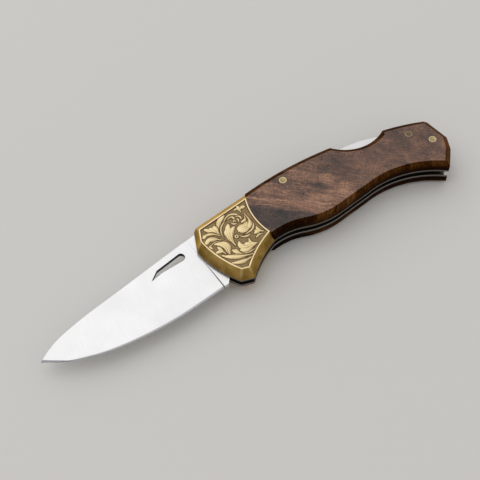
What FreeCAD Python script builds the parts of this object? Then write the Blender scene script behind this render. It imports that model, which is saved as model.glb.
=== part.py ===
# Folding pocket knife with a back lock, lying open on its right side.
# Millimetres. The origin is on the blade's pivot axis, on the plane that the knife lies on.
# +X runs towards the butt, +Y towards the spine and +Z up, out of the left side.
import FreeCAD, Part
import os
import Sketcher

# Driving dimensions. Lengths are in millimetres and angles in degrees.
SIZES = {
    # handle, seen from its side
    "handle_length": 110.0,
    "handle_depth": 25.0,
    # the stack of plates, from one side of the knife to the other
    "slab_thickness": 4.3,
    "liner_thickness": 0.9,
    "washer_thickness": 0.2,
    "blade_thickness": 2.0,
    # worked edges of the bolsters and scales
    "bolster_bevel": 2.3,
    "nose_bevel": 1.6,
    "scale_bevel": 1.5,
    "engraving_rim": 0.5,
    "engraving_depth": 0.35,
    # blade, from the pivot to its tip
    "blade_length": 81.2,
    "blade_depth": 24.5,
    "edge_bevel_height": 0.9,
    "edge_shoulder_thickness": 0.6,
    "edge_thickness": 0.08,
    # tang and the tooth that locks it
    "tang_radius": 10.2,
    "lock_depth": 0.9,
    "tooth_width": 3.5,
    "tooth_offset": 1.65,
    "lock_play": 0.1,
    "release_gap": 0.15,
    "tang_room": 0.5,
    "relief_start_angle": 125.0,
    "relief_end_angle": 57.0,
    "ramp_end_angle": 28.0,
    # pins, rivets and washers
    "pivot_diameter": 5.0,
    "pivot_washer_diameter": 15.0,
    "pin_diameter": 3.2,
    "pin_washer_diameter": 5.6,
    "rivet_diameter": 2.0,
    "rivet_reach": 2.4,
    "running_clearance": 0.05,
    "seat_clearance": 0.02,
    # lock spring and the gap behind the lock bar
    "spring_thickness": 1.0,
    "spring_width": 1.8,
    "spring_gap": 0.1,
    "tail_gap": 0.8,
}

# Side view of the handle, in shares of its length and depth from the blade's pivot.
HANDLE_SHARES = (
    ("nose_top", -0.106, 0.488),
    ("nose_front", -0.1285, 0.146),
    ("nose_bow", -0.104, -0.160),
    ("guard_front", -0.043, -0.568),
    ("guard_rear", 0.004, -0.604),
    ("guard_hollow", 0.065, -0.336),
    ("belly_joint", 0.128, -0.156),
    ("joint_bow", 0.0955, 0.292),
    ("spine_joint", 0.111, 0.720),
    ("waist", 0.191, -0.112),
    ("swell_front", 0.245, -0.136),
    ("swell", 0.314, -0.174),
    ("swell_rear", 0.382, -0.142),
    ("hollow_front", 0.509, -0.002),
    ("hollow", 0.645, 0.068),
    ("butt_bottom", 0.814, -0.176),
    ("butt_lower", 0.856, 0.104),
    ("butt_point", 0.871, 0.328),
    ("butt_upper", 0.843, 0.720),
    ("butt_top", 0.833, 0.764),
    ("rear_spine", 0.759, 0.838),
    ("notch_rear", 0.678, 0.884),
    ("notch_floor", 0.577, 0.740),
    ("notch_front", 0.471, 0.938),
    ("spine_bow", 0.291, 0.880),
    # pins and rivets
    ("lock_pin", 0.252, 0.670),
    ("rear_pin_upper", 0.750, 0.616),
    ("rear_pin_lower", 0.815, 0.364),
    ("rivet_upper", 0.050, 0.500),
    ("rivet_lower", -0.040, -0.400),
    # lock bar, in its locked place
    ("bar_bend", 0.111, 0.702),
    ("bar_bow", 0.291, 0.867),
    ("thumb_front", 0.455, 0.938),
    ("thumb_rest", 0.573, 1.012),
    ("tail_top", 0.680, 0.958),
    ("tail_bottom", 0.680, 0.676),
    ("spring_seat", 0.436, 0.676),
    ("bar_waist", 0.345, 0.580),
    ("bar_under_pin", 0.252, 0.548),
    ("bar_under_front", 0.125, 0.532),
    ("heel_room", 0.089, 0.512),
    # back spacer and the spring that is set in it
    ("spacer_step", 0.745, 0.344),
    ("spacer_crotch", 0.788, 0.160),
    ("spacer_foot", 0.804, -0.144),
    ("spring_root", 0.786, 0.464),
    ("spring_bend", 0.700, 0.464),
)

# Side view of the blade, in shares of its length and depth from the pivot. The plunge is the
# line where the grinding of the flats begins.
PLUNGE_TOP_SHARES = (-0.190, 0.447)
PLUNGE_BOTTOM_SHARES = (-0.133, -0.543)
BLADE_SHARES = (
    ("plunge_top", *PLUNGE_TOP_SHARES),
    ("plunge_bottom", *PLUNGE_BOTTOM_SHARES),
    ("choil", -0.129, -0.527),
    ("ricasso_bottom", -0.110, -0.514),
    ("ricasso_rear", -0.092, -0.420),
    ("slot_point", -0.419, 0.010),
    ("slot_front", -0.377, 0.147),
    ("slot_top", -0.251, 0.276),
    ("slot_end", -0.230, 0.208),
    ("slot_bottom", -0.250, 0.137),
    ("slot_flat", -0.355, 0.078),
)

# Heights and places that follow one of those two lengths alone.
SHOULDER_HEIGHT_SHARE = 0.565
BAR_NOSE_HEIGHT_SHARE = 0.528
TANG_SHELF_PLACE_SHARE = 0.045
SPACER_TOP_SHARE = 0.8795
SPACER_FRONT_SHARE = 0.356
SPRING_TIP_PLACE_SHARE = 0.455
SPRING_SWEEP_SHARE = 0.25
# How near two places lie that count as one, in shares of a slab's thickness.
TOUCH_SHARE = 0.002

# The ground part of the blade: from the plunge to the tip, each rung runs from the spine to
# the edge. The last share is the rung's thickness at the spine.
RUNG_SHARES = (
    (PLUNGE_TOP_SHARES, PLUNGE_BOTTOM_SHARES, 1.00),
    ((-0.333, 0.305), (-0.292, -0.659), 1.00),
    ((-0.493, 0.145), (-0.462, -0.751), 1.00),
    ((-0.640, 0.002), (-0.628, -0.782), 0.98),
    ((-0.764, -0.122), (-0.764, -0.757), 0.92),
    ((-0.862, -0.239), (-0.866, -0.692), 0.80),
    ((-0.936, -0.359), (-0.940, -0.608), 0.58),
    ((-0.980, -0.461), (-0.981, -0.543), 0.34),
    ((-0.999, -0.511), (-1.000, -0.523), 0.14),
)

doc = FreeCAD.newDocument("folding_knife")
sheet = doc.addObject("Spreadsheet::Sheet", "Sizes")
for row, (alias, amount) in enumerate(SIZES.items(), start=1):
    sheet.set(f"A{row}", alias.replace("_", " "))
    sheet.set(f"B{row}", str(amount))
    sheet.setAlias(f"B{row}", alias)
doc.recompute()

QUARTER_TURN = 90
UP = FreeCAD.Vector(0, 0, 1)
DOWN = FreeCAD.Vector(0, 0, -1)
pieces = []


def number(expression):
    """The present value of an expression in sheet cells."""
    found = sheet.evalExpression(expression)
    return float(getattr(found, "Value", found))


def spots(shares, length, depth):
    """Named spots of a side view, as pairs of expressions in its length and depth."""
    return {name: (f"{length} * {x}", f"{depth} * {y}") for name, x, y in shares}


def moved(point, east="0", north="0"):
    """A spot set off from another one."""
    return f"({point[0]}) + ({east})", f"({point[1]}) + ({north})"


def place(point, height="0"):
    """A spot's present place."""
    return FreeCAD.Vector(number(point[0]), number(point[1]), number(height))


def line(end):
    return None, end


def arc(through, end):
    return through, end


def finish(piece, label):
    """Names a sub-part and lists it for the checks and the files."""
    piece.Label = label
    pieces.append(piece)
    return piece


def new_body(name, level):
    body = doc.addObject("PartDesign::Body", name)
    body.setExpression("Placement.Base.z", level)
    return body


def new_sketch(body, name, height="0"):
    sketch = body.newObject("Sketcher::SketchObject", name)
    plane = next(item for item in body.Origin.OriginFeatures if item.Role == "XY_Plane")
    sketch.AttachmentSupport = [(plane, "")]
    sketch.MapMode = "FlatFace"
    sketch.setExpression("AttachmentOffset.Base.z", height)
    return sketch


def hold(sketch, geometry, end, point):
    """Ties one point of a sketch to its two expressions."""
    for kind, distance in zip(("DistanceX", "DistanceY"), point):
        tie = Sketcher.Constraint(kind, -1, 1, geometry, end, number(distance))
        sketch.setExpression(f"Constraints[{sketch.addConstraint(tie)}]", distance)


def draw_loop(sketch, start, steps):
    """Draws a closed outline of lines and three-point arcs, every point of it tied."""
    drawn = []
    here = start
    for through, end in steps:
        if through is None:
            curve = Part.LineSegment(place(here), place(end))
        else:
            curve = Part.Arc(place(here), place(through), place(end))
        index = sketch.addGeometry(curve)
        to_here = sketch.getPoint(index, 1).distanceToPoint(place(here))
        to_end = sketch.getPoint(index, 1).distanceToPoint(place(end))
        first, last = (1, 2) if to_here < to_end else (2, 1)
        hold(sketch, index, last, end)
        if through is not None:
            mark = sketch.addGeometry(Part.Point(place(through)), True)
            hold(sketch, mark, 1, through)
            sketch.addConstraint(Sketcher.Constraint("PointOnObject", mark, 1, index))
        drawn.append((index, first, last))
        here = end
    for (before, _, ends), (index, begins, _) in zip(drawn[-1:] + drawn[:-1], drawn):
        sketch.addConstraint(Sketcher.Constraint("Coincident", before, ends, index, begins))


def draw_circle(sketch, centre, diameter):
    index = sketch.addGeometry(Part.Circle(place(centre), UP, number(diameter) / 2))
    hold(sketch, index, 3, centre)
    tie = Sketcher.Constraint("Diameter", index, number(diameter))
    sketch.setExpression(f"Constraints[{sketch.addConstraint(tie)}]", diameter)


def pad(body, sketch, length):
    feature = body.newObject("PartDesign::Pad", "pad")
    feature.Profile = sketch
    feature.setExpression("Length", length)
    doc.recompute()
    return feature


def pocket(body, profile, depth, upward):
    """Sinks a profile into its body, and makes sure that something came out."""
    before = body.Shape.Volume
    feature = body.newObject("PartDesign::Pocket", "pocket")
    feature.Profile = profile
    feature.Reversed = upward
    feature.setExpression("Length", depth)
    doc.recompute()
    if body.Shape.Volume >= before:
        raise RuntimeError(f"a pocket of {body.Name} cut nothing")
    return feature


def plate(label, level, thickness, start, steps, holes=()):
    """A flat piece cut from sheet stock, with round holes right through it."""
    body = new_body(label, level)
    sketch = new_sketch(body, f"{label}_outline")
    draw_loop(sketch, start, steps)
    for centre, diameter in holes:
        draw_circle(sketch, centre, diameter)
    pad(body, sketch, thickness)
    return finish(body, label)


def washer(label, level, centre, outside, inside):
    body = new_body(label, level)
    sketch = new_sketch(body, f"{label}_ring")
    draw_circle(sketch, centre, outside)
    draw_circle(sketch, centre, inside)
    pad(body, sketch, "Sizes.washer_thickness")
    return finish(body, label)


def rod(name, centre, diameter, level, length):
    """A plain round pin, standing across the plates."""
    cylinder = doc.addObject("Part::Cylinder", name)
    cylinder.setExpression("Radius", f"({diameter}) / 2")
    cylinder.setExpression("Height", length)
    cylinder.setExpression("Placement.Base.x", centre[0])
    cylinder.setExpression("Placement.Base.y", centre[1])
    cylinder.setExpression("Placement.Base.z", level)
    return cylinder


# Levels of the stack, counted up from the right side that the knife lies on.
RIGHT_SLAB = "0"
RIGHT_LINER = "Sizes.slab_thickness"
GAP_FLOOR = f"{RIGHT_LINER} + Sizes.liner_thickness"
BLADE_FLOOR = f"{GAP_FLOOR} + Sizes.washer_thickness"
BLADE_MIDDLE = f"{BLADE_FLOOR} + Sizes.blade_thickness / 2"
BLADE_TOP = f"{BLADE_FLOOR} + Sizes.blade_thickness"
LEFT_LINER = f"{BLADE_TOP} + Sizes.washer_thickness"
LEFT_SLAB = f"{LEFT_LINER} + Sizes.liner_thickness"
WHOLE_STACK = f"{LEFT_SLAB} + Sizes.slab_thickness"
GAP_WIDTH = "Sizes.blade_thickness + 2 * Sizes.washer_thickness"

PIVOT = ("0", "0")
HANDLE = spots(HANDLE_SHARES, "Sizes.handle_length", "Sizes.handle_depth")
BLADE = spots(BLADE_SHARES, "Sizes.blade_length", "Sizes.blade_depth")
PIN_HOLE = "Sizes.pin_diameter + 2 * Sizes.seat_clearance"
PIVOT_HOLE = "Sizes.pivot_diameter + 2 * Sizes.seat_clearance"
RIVET_HOLE = "Sizes.rivet_diameter + 2 * Sizes.seat_clearance"
SCALE_PINS = [HANDLE["lock_pin"], HANDLE["rear_pin_upper"], HANDLE["rear_pin_lower"]]
RIVETS = [HANDLE["rivet_upper"], HANDLE["rivet_lower"]]
SIDES = (
    ("right", RIGHT_SLAB, RIGHT_LINER, GAP_FLOOR),
    ("left", LEFT_SLAB, LEFT_LINER, BLADE_TOP),
)

# Runs of the handle's outline, each from the end of the one before it.
spine_of_bolster = [line(HANDLE["nose_top"])]
front_of_bolster = [
    line(HANDLE["nose_front"]),
    arc(HANDLE["nose_bow"], HANDLE["guard_front"]),
    line(HANDLE["guard_rear"]),
    arc(HANDLE["guard_hollow"], HANDLE["belly_joint"]),
]
belly_of_scale = [
    arc(HANDLE["waist"], HANDLE["swell_front"]),
    arc(HANDLE["swell"], HANDLE["swell_rear"]),
    line(HANDLE["hollow_front"]),
    arc(HANDLE["hollow"], HANDLE["butt_bottom"]),
]
butt = [
    line(HANDLE["butt_lower"]),
    line(HANDLE["butt_point"]),
    line(HANDLE["butt_upper"]),
    line(HANDLE["butt_top"]),
]
spine_of_scale = [
    arc(HANDLE["rear_spine"], HANDLE["notch_rear"]),
    arc(HANDLE["notch_floor"], HANDLE["notch_front"]),
    arc(HANDLE["spine_bow"], HANDLE["spine_joint"]),
]
bolster_outline = spine_of_bolster + front_of_bolster
scale_outline = belly_of_scale + butt + spine_of_scale
joint_upward = arc(HANDLE["joint_bow"], HANDLE["spine_joint"])
joint_downward = arc(HANDLE["joint_bow"], HANDLE["belly_joint"])


def touches(distance):
    return distance < number(f"Sizes.slab_thickness * {TOUCH_SHARE}")


def at_level(shape, height):
    """Does a face or an edge lie wholly at one height of its body?"""
    box = shape.BoundBox
    level = number(height)
    return touches(abs(box.ZMin - level)) and touches(abs(box.ZMax - level))


def middle(here, there):
    """The spot halfway between two others."""
    return tuple(f"(({first}) + ({second})) / 2" for first, second in zip(here, there))


def slope(body, run, across, is_left):
    """Slopes the sides of a slab along a run of its outline, from its inner face right up to
    its outer face, which gets this much smaller there."""
    base = body.Tip
    inner = "0" if is_left else "Sizes.slab_thickness"
    marks = [Part.Vertex(place(spot, "Sizes.slab_thickness / 2")) for spot in run]
    chosen = []
    for index, face in enumerate(base.Shape.Faces, start=1):
        if at_level(face, inner):
            still = f"Face{index}"
        elif any(touches(face.distToShape(mark)[0]) for mark in marks):
            chosen.append(f"Face{index}")
    feature = body.newObject("PartDesign::Draft", f"{body.Name}_slope")
    feature.Base = (base, chosen)
    feature.NeutralPlane = (base, [still])
    feature.Reversed = not is_left
    feature.setExpression("Angle", f"atan({across} / Sizes.slab_thickness)")
    doc.recompute()


def bevel(body, size, outer, mark, only):
    """Bevels outer edges of a slab: only the one that a mark lies on, or all but that one."""
    base = body.Tip
    vertex = Part.Vertex(place(mark, outer))
    chosen = []
    for index, edge in enumerate(base.Shape.Edges, start=1):
        marked = touches(edge.distToShape(vertex)[0])
        if at_level(edge, outer) and not edge.isClosed() and marked == only:
            chosen.append(f"Edge{index}")
    feature = body.newObject("PartDesign::Chamfer", f"{body.Name}_bevel")
    feature.Base = (base, chosen)
    feature.setExpression("Size", size)
    doc.recompute()


def sink_field(body, outer):
    """Sinks the field of the engraving into the outer face, and leaves a rim round it."""
    flat = [
        (face.Area, f"Face{index}")
        for index, face in enumerate(body.Tip.Shape.Faces, start=1)
        if at_level(face, outer)
    ]
    field = body.newObject("PartDesign::SubShapeBinder", f"{body.Name}_field")
    field.Support = [(body.Tip, (max(flat)[1],))]
    field.setExpression("Offset", "-Sizes.engraving_rim")
    doc.recompute()
    pocket(body, field, "Sizes.engraving_depth", False)


def bore(body, height, holes, depth, upward):
    """Bores round holes to one depth."""
    sketch = new_sketch(body, f"{body.Name}_bores", height)
    for centre, diameter in holes:
        draw_circle(sketch, centre, diameter)
    pocket(body, sketch, depth, upward)


# Marks on the sides of the bolster: its spine, its nose and what lies below the nose.
SPINE_MIDDLE = middle(HANDLE["spine_joint"], HANDLE["nose_top"])
NOSE_MIDDLE = middle(HANDLE["nose_top"], HANDLE["nose_front"])
GUARD_MIDDLE = middle(HANDLE["guard_front"], HANDLE["guard_rear"])
GUARD_RUN = [HANDLE["nose_bow"], GUARD_MIDDLE, HANDLE["guard_hollow"]]

for side, slab_level, liner_level, washer_level in SIDES:
    is_left = side == "left"
    outer = "Sizes.slab_thickness" if is_left else "0"
    inner = "0" if is_left else "Sizes.slab_thickness"

    # Brass bolster: a slab with sloping sides, a bevelled spine and a sunk field for the
    # engraving.
    bolster = plate(
        f"bolster_{side}",
        slab_level,
        "Sizes.slab_thickness",
        HANDLE["spine_joint"],
        bolster_outline + [joint_upward],
    )
    slope(bolster, GUARD_RUN, "Sizes.bolster_bevel", is_left)
    slope(bolster, [NOSE_MIDDLE], "Sizes.nose_bevel", is_left)
    bevel(bolster, "Sizes.bolster_bevel", outer, SPINE_MIDDLE, True)
    sink_field(bolster, outer)
    bore(bolster, inner, [(PIVOT, PIVOT_HOLE)], "Sizes.slab_thickness", is_left)
    rivet_bores = [(rivet, RIVET_HOLE) for rivet in RIVETS]
    bore(bolster, inner, rivet_bores, "Sizes.rivet_reach + Sizes.seat_clearance", is_left)

    # Two brass rivets hold the bolster on its liner, peened flush inside the handle.
    rivet_floor = LEFT_LINER if is_left else f"{RIGHT_LINER} - Sizes.rivet_reach"
    rivets = [
        rod(f"rivet_{side}", rivet, "Sizes.rivet_diameter", rivet_floor,
            "Sizes.rivet_reach + Sizes.liner_thickness")
        for rivet in RIVETS
    ]
    group = doc.addObject("Part::Compound", f"bolster_rivets_{side}")
    group.Links = rivets
    finish(group, f"bolster_rivets_{side}")

    # Walnut scale: a bevelled slab with a thumb notch in its spine, held by three pins.
    scale = plate(
        f"scale_{side}",
        slab_level,
        "Sizes.slab_thickness",
        HANDLE["belly_joint"],
        scale_outline + [joint_downward],
        [(pin, PIN_HOLE) for pin in SCALE_PINS],
    )
    bevel(scale, "Sizes.scale_bevel", outer, HANDLE["joint_bow"], False)

    # Steel liner: one plate under bolster and scale, with every pin's hole in it.
    plate(
        f"liner_{side}",
        liner_level,
        "Sizes.liner_thickness",
        HANDLE["spine_joint"],
        bolster_outline + scale_outline,
        [(PIVOT, PIVOT_HOLE)] + [(pin, PIN_HOLE) for pin in SCALE_PINS] + rivet_bores,
    )

    # Bronze washers between the liner and what turns beside it.
    washer(f"pivot_washer_{side}", washer_level, PIVOT, "Sizes.pivot_washer_diameter", PIVOT_HOLE)
    washer(
        f"lock_bar_washer_{side}",
        washer_level,
        HANDLE["lock_pin"],
        "Sizes.pin_washer_diameter",
        PIN_HOLE,
    )

# Brass pins: the pivot is cut off flush with the engraved field, the others with the scales.
pivot_length = f"{WHOLE_STACK} - 2 * Sizes.engraving_depth"
finish(
    rod("pivot_pin", PIVOT, "Sizes.pivot_diameter", "Sizes.engraving_depth", pivot_length),
    "pivot_pin",
)
for pin_label, pin in zip(("lock_bar_pin", "rear_pin_upper", "rear_pin_lower"), SCALE_PINS):
    finish(rod(pin_label, pin, "Sizes.pin_diameter", RIGHT_SLAB, WHOLE_STACK), pin_label)


def on_circle(east, radius):
    """The upper spot of a circle about the pivot that has this distance towards the butt."""
    return east, f"sqrt(({radius}) ^ 2 - ({east}) ^ 2)"


def below_pivot(angle, radius):
    """A spot of a circle about the pivot, this far below the line from pivot to butt."""
    return f"({radius}) * cos({angle})", f"-({radius}) * sin({angle})"


def up_the_lean(foot, height):
    """Where a face of the lock that starts at foot reaches a height: the faces lean along
    the arc in which the tooth rises about the lock bar's pin."""
    return f"({foot[0]}) - ({LEAN}) * (({height}) - ({foot[1]}))", height


# The lock: a notch in the tang's circle, and the tooth of the lock bar that drops into it.
PIN_EAST, PIN_NORTH = HANDLE["lock_pin"]
NOTCH_RADIUS = "Sizes.tang_radius - Sizes.lock_depth"
TIP_RADIUS = f"{NOTCH_RADIUS} + Sizes.lock_play"
TOOTH_MIDDLE = "-Sizes.tooth_offset"
TOOTH_FRONT = "-Sizes.tooth_offset - Sizes.tooth_width / 2"
TOOTH_REAR = "-Sizes.tooth_offset + Sizes.tooth_width / 2"
LEAN = f"(({PIN_NORTH}) - ({NOTCH_RADIUS})) / (({PIN_EAST}) - ({TOOTH_MIDDLE}))"
RELEASE_LIFT = "Sizes.lock_depth - Sizes.lock_play + Sizes.release_gap"
RELEASE_SLOPE = f"({RELEASE_LIFT}) / (({PIN_EAST}) - ({TOOTH_REAR}))"

# Blade, ground part: flat bevels from spine to edge, thinner towards the tip, with a narrow
# second bevel along the edge.
sections = []
for spine_shares, edge_shares, thickness_share in RUNG_SHARES:
    end_shares = (("spine", *spine_shares), ("edge", *edge_shares))
    rung = spots(end_shares, "Sizes.blade_length", "Sizes.blade_depth")
    spine = place(rung["spine"])
    edge = place(rung["edge"])
    bevel_share = number("Sizes.edge_bevel_height") / number("Sizes.blade_depth")
    shoulder = edge + (spine - edge) * bevel_share
    half = {
        "spine": number("Sizes.blade_thickness") * thickness_share / 2,
        "shoulder": number("Sizes.edge_shoulder_thickness") * thickness_share / 2,
        "edge": number("Sizes.edge_thickness") * thickness_share / 2,
    }
    ring = [
        spine + UP * half["spine"],
        shoulder + UP * half["shoulder"],
        edge + UP * half["edge"],
        edge + DOWN * half["edge"],
        shoulder + DOWN * half["shoulder"],
        spine + DOWN * half["spine"],
    ]
    sections.append(Part.makePolygon(ring + ring[:1]))
ground = doc.addObject("Part::Feature", "ground_blade")
ground.Shape = Part.makeLoft(sections, True, False)

# Blade, tang: full thickness from the plunge back, with the choil, the lock's notch on top,
# a relief below that takes the tooth when the blade is shut, and a ramp out of that relief.
notch_rear_floor = on_circle(f"{TOOTH_REAR} + Sizes.lock_play", NOTCH_RADIUS)
notch_front_floor = on_circle(f"{TOOTH_FRONT} - Sizes.lock_play", NOTCH_RADIUS)
notch_rear_top = on_circle(
    f"{TOOTH_REAR} + Sizes.lock_play - ({LEAN}) * Sizes.lock_depth", "Sizes.tang_radius"
)
relief_middle_angle = "(Sizes.relief_start_angle + Sizes.relief_end_angle) / 2"
tang_back_angle = f"(Sizes.ramp_end_angle - {QUARTER_TURN}) / 2"
blade = new_body("blade", BLADE_MIDDLE)
blade.BaseFeature = ground
tang = new_sketch(blade, "tang")
draw_loop(
    tang,
    BLADE["plunge_top"],
    [
        line(BLADE["plunge_bottom"]),
        line(BLADE["choil"]),
        line(BLADE["ricasso_bottom"]),
        line(BLADE["ricasso_rear"]),
        line(below_pivot("Sizes.relief_start_angle", NOTCH_RADIUS)),
        arc(
            below_pivot(relief_middle_angle, NOTCH_RADIUS),
            below_pivot("Sizes.relief_end_angle", NOTCH_RADIUS),
        ),
        line(below_pivot("Sizes.ramp_end_angle", "Sizes.tang_radius")),
        arc(below_pivot(tang_back_angle, "Sizes.tang_radius"), notch_rear_top),
        line(notch_rear_floor),
        arc(on_circle(TOOTH_MIDDLE, NOTCH_RADIUS), notch_front_floor),
        line(up_the_lean(notch_front_floor, f"Sizes.blade_depth * {SHOULDER_HEIGHT_SHARE}")),
        line(BLADE["plunge_top"]),
    ],
)
draw_circle(tang, PIVOT, "Sizes.pivot_diameter + 2 * Sizes.running_clearance")
pad(blade, tang, "Sizes.blade_thickness").SideType = "Symmetric"
doc.recompute()
thumb_slot = new_sketch(blade, "thumb_slot")
draw_loop(
    thumb_slot,
    BLADE["slot_point"],
    [
        line(BLADE["slot_front"]),
        line(BLADE["slot_top"]),
        arc(BLADE["slot_end"], BLADE["slot_bottom"]),
        line(BLADE["slot_flat"]),
        line(BLADE["slot_point"]),
    ],
)
slot_cut = pocket(blade, thumb_slot, "2 * Sizes.blade_thickness", True)
slot_cut.SideType = "Symmetric"
finish(blade, "blade")


def from_pin(point):
    """A spot as the lock bar's own frame has it, which starts at the bar's pin."""
    return f"({point[0]}) - ({PIN_EAST})", f"({point[1]}) - ({PIN_NORTH})"


# Lock bar: drawn locked in a frame of its own at its pin, and set a little turned, as it is
# while the thumb holds it down and its tooth stands clear of the tang.
tooth_front = on_circle(TOOTH_FRONT, TIP_RADIUS)
tooth_rear = on_circle(TOOTH_REAR, TIP_RADIUS)
shelf_height = "Sizes.tang_radius + Sizes.tang_room"
bar_loop = [
    arc(on_circle(TOOTH_MIDDLE, TIP_RADIUS), tooth_rear),
    line(up_the_lean(tooth_rear, shelf_height)),
    line((f"Sizes.handle_length * {TANG_SHELF_PLACE_SHARE}", shelf_height)),
    line(HANDLE["heel_room"]),
    line(HANDLE["bar_under_front"]),
    arc(HANDLE["bar_under_pin"], HANDLE["bar_waist"]),
    line(HANDLE["spring_seat"]),
    line(HANDLE["tail_bottom"]),
    line(HANDLE["tail_top"]),
    arc(HANDLE["thumb_rest"], HANDLE["thumb_front"]),
    arc(HANDLE["bar_bow"], HANDLE["bar_bend"]),
    line(up_the_lean(tooth_front, f"Sizes.handle_depth * {BAR_NOSE_HEIGHT_SHARE}")),
    line(tooth_front),
]
own_loop = [(through and from_pin(through), from_pin(end)) for through, end in bar_loop]
lock_bar = plate(
    "lock_bar",
    BLADE_FLOOR,
    "Sizes.blade_thickness",
    from_pin(tooth_front),
    own_loop,
    [(from_pin(HANDLE["lock_pin"]), "Sizes.pin_diameter + 2 * Sizes.running_clearance")],
)
pressed = FreeCAD.Rotation(DOWN, number(RELEASE_SLOPE))
lock_bar.Placement = FreeCAD.Placement(FreeCAD.Vector(), pressed)
lock_bar.setExpression("Placement.Base.x", PIN_EAST)
lock_bar.setExpression("Placement.Base.y", PIN_NORTH)
lock_bar.setExpression("Placement.Rotation.Angle", f"atan({RELEASE_SLOPE})")

# Back spacer: a steel block between the liners at the butt, slotted for the lock spring.
SPACER_PLACE = f"({HANDLE['tail_top'][0]}) + Sizes.tail_gap"
slot_half = "Sizes.spring_thickness / 2 + Sizes.seat_clearance"
slot_end_east = f"{HANDLE['spring_root'][0]} + Sizes.seat_clearance"
slot_above = f"{HANDLE['spring_root'][1]} + {slot_half}"
slot_below = f"{HANDLE['spring_root'][1]} - ({slot_half})"
spacer_top = (SPACER_PLACE, f"Sizes.handle_depth * {SPACER_TOP_SHARE}")
plate(
    "back_spacer",
    GAP_FLOOR,
    GAP_WIDTH,
    spacer_top,
    [
        line((SPACER_PLACE, slot_above)),
        line((slot_end_east, slot_above)),
        line((slot_end_east, slot_below)),
        line((SPACER_PLACE, slot_below)),
        line((SPACER_PLACE, f"Sizes.handle_depth * {SPACER_FRONT_SHARE}")),
        line(HANDLE["spacer_step"]),
        line(HANDLE["spacer_crotch"]),
        line(HANDLE["spacer_foot"]),
        line(HANDLE["butt_bottom"]),
        *butt,
        arc(HANDLE["rear_spine"], spacer_top),
    ],
    [(HANDLE["rear_pin_upper"], PIN_HOLE), (HANDLE["rear_pin_lower"], PIN_HOLE)],
)

# Lock spring: a flat strip from the spacer's slot that sweeps up under the lock bar's tail.
TIP_EAST = f"Sizes.handle_length * {SPRING_TIP_PLACE_SHARE}"
tip_drop = f"({RELEASE_SLOPE}) * (({TIP_EAST}) - ({PIN_EAST})) + Sizes.spring_gap"
tip = (TIP_EAST, f"({HANDLE['spring_seat'][1]}) - ({tip_drop})")
root = moved(HANDLE["spring_root"], north="Sizes.spring_thickness / 2")
bend = moved(HANDLE["spring_bend"], north="Sizes.spring_thickness / 2")
sweep = (
    f"(({bend[0]}) + ({tip[0]})) / 2",
    f"({bend[1]}) + (({tip[1]}) - ({bend[1]})) * {SPRING_SWEEP_SHARE}",
)
under = [moved(point, north="-Sizes.spring_thickness") for point in (tip, sweep, bend, root)]
plate(
    "lock_spring",
    f"{BLADE_MIDDLE} - Sizes.spring_width / 2",
    "Sizes.spring_width",
    root,
    [line(bend), arc(sweep, tip), line(under[0]), arc(under[1], under[2]), line(under[3]), line(root)],
)

doc.recompute()
for item in doc.Objects:
    if "Invalid" in item.State or "Error" in item.State:
        raise RuntimeError(f"{item.Label} failed: {item.State}")
for piece in pieces:
    if piece.Shape.isNull() or not piece.Shape.isValid():
        raise RuntimeError(f"{piece.Label} has no sound shape")

os.makedirs("parts", exist_ok=True)
for piece in pieces:
    piece.Shape.exportStep(f"parts/{piece.Label}.step")
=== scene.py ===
import math

import bmesh
import bpy
import numpy as np
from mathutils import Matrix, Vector
from mathutils.bvhtree import BVHTree


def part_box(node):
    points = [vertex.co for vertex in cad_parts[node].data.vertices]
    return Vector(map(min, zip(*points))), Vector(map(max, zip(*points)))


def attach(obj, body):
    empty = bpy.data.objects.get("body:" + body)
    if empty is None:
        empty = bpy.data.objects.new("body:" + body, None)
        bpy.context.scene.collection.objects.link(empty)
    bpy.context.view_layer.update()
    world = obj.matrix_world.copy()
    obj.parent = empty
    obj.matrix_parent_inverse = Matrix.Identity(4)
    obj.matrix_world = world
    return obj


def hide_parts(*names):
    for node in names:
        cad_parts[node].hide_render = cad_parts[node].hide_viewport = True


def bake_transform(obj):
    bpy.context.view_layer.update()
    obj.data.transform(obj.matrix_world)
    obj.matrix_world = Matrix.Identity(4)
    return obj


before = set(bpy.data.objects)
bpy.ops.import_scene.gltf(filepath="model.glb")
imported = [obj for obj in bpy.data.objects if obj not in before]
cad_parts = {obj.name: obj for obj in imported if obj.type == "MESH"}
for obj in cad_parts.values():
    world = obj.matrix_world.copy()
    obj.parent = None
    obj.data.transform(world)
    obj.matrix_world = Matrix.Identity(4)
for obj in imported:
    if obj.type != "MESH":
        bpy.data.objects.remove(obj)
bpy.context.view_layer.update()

# Studio: the knife lies on a plain pale table under a broad soft panel that hangs behind it.
# The even light of the room fills the rest, so that colours come out about as they are mixed.
MM = 0.001
TABLE_COLOUR = (0.80, 0.785, 0.76, 1)
TABLE_ROUGHNESS = 0.9
TABLE_GLOSS = 0.1
TABLE_SIDE = 3.0
TABLE_DROP = 0.02 * MM
ROOM_COLOUR = (1.0, 0.995, 0.985, 1)
ROOM_STRENGTH = 0.56
PANEL_SIDE = 2.0
PANEL_PLACE = Vector((-0.35, 0.75, 1.15))
PANEL_RADIANCE = 0.52
LOOK_AT = Vector((3, 3, 6.4)) * MM
LOOK_FROM = Vector((-82.5, -176.4, 324.4)) * MM
LENS = 75
SENSOR = 36
NEAREST_SEEN = 10 * MM
scene = bpy.context.scene
scene.view_settings.view_transform = "Standard"


def connect(tree, node, sockets):
    """Sets sockets of a shader node to values, or joins them to the outputs of other nodes."""
    for key, value in sockets.items():
        if isinstance(value, bpy.types.NodeSocket):
            tree.links.new(value, node.inputs[key])
        else:
            node.inputs[key].default_value = value


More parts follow.
